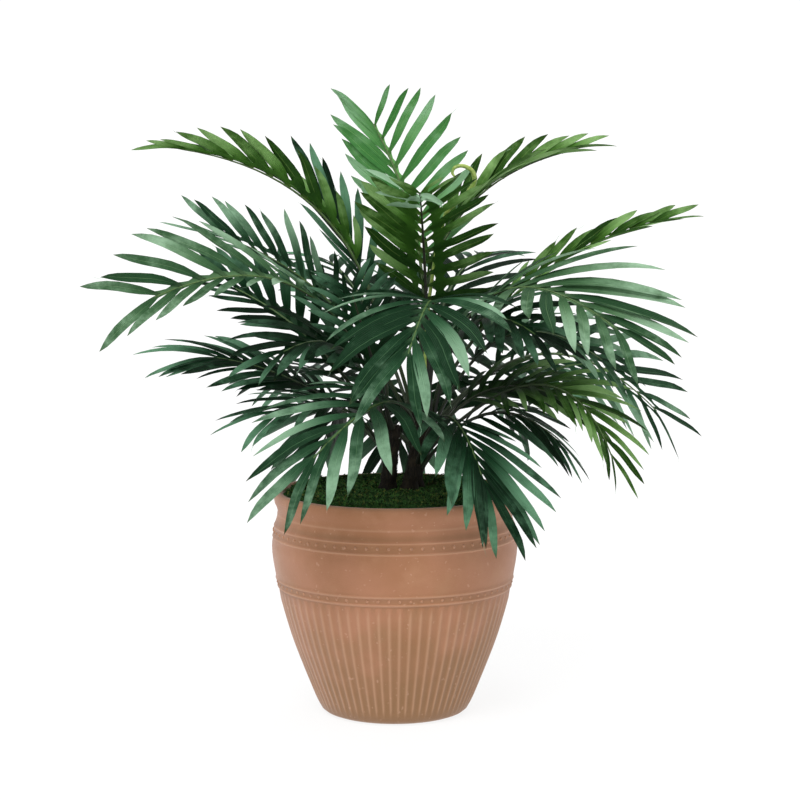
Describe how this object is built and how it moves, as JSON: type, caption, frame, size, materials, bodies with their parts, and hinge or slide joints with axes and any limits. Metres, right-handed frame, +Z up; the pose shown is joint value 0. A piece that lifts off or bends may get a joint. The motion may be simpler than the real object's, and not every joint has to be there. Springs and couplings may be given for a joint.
{
  "type": "artificial potted palm",
  "caption": "Artificial parlor palm: arching feather fronds of woven fabric on short dark stems, set in moss in a fluted terracotta pot.",
  "frame": {"origin": "middle of the pot's flat underside", "axes": "+Z up, -Y towards the viewer of the pictured front, +X to that viewer's right"},
  "size_m": [0.6177, 0.5448, 0.6311],
  "materials": {
    "terracotta": "unglazed terracotta, matt, with a brown patina",
    "fill": "matt filler block, out of sight",
    "moss": "preserved moss, matt",
    "stem": "dark fibre-wrapped stem, matt",
    "shoot": "satin",
    "leaf_fresh": "woven leaf fabric, satin",
    "leaf_pale": "woven leaf fabric, satin",
    "leaf_mid": "woven leaf fabric, satin",
    "leaf_olive": "woven leaf fabric, satin",
    "leaf_dark": "woven leaf fabric, satin"
  },
  "bodies": {
    "root": {"pot": "terracotta", "fill": "fill", "moss": "moss", "stem_left": "stem", "stem_right": "stem", "stem_back": "stem", "curled_shoot": "shoot", "frond_centre_front": "leaf_mid", "frond_centre_up": "leaf_olive", "frond_top_back": "leaf_fresh", "frond_left_front": "leaf_pale", "frond_right_front": "leaf_pale", "frond_low_front_left": "leaf_mid", "frond_low_right_front": "leaf_dark", "frond_upper_left": "leaf_olive", "frond_upper_right": "leaf_olive", "frond_right_upper": "leaf_olive", "frond_left_back": "leaf_mid", "frond_right_low_back": "leaf_mid", "frond_left_low_back": "leaf_dark", "frond_right_low_front": "leaf_olive", "frond_low_left": "leaf_dark", "frond_behind_upper_left": "leaf_dark", "frond_left_mid_back": "leaf_dark", "frond_left_inner": "leaf_dark", "frond_right_mid": "leaf_mid", "frond_right_inner": "leaf_dark", "frond_right_mid_low": "leaf_olive", "frond_right_under": "leaf_dark", "frond_left_mid_front": "leaf_dark", "frond_back_up_left": "leaf_dark", "frond_back_up_right": "leaf_dark", "frond_back_left": "leaf_dark", "frond_back_right": "leaf_dark", "frond_back_mid": "leaf_dark", "frond_back_low": "leaf_dark", "frond_back_low_left": "leaf_dark", "frond_back_low_right": "leaf_dark"}
  },
  "joints": []
}
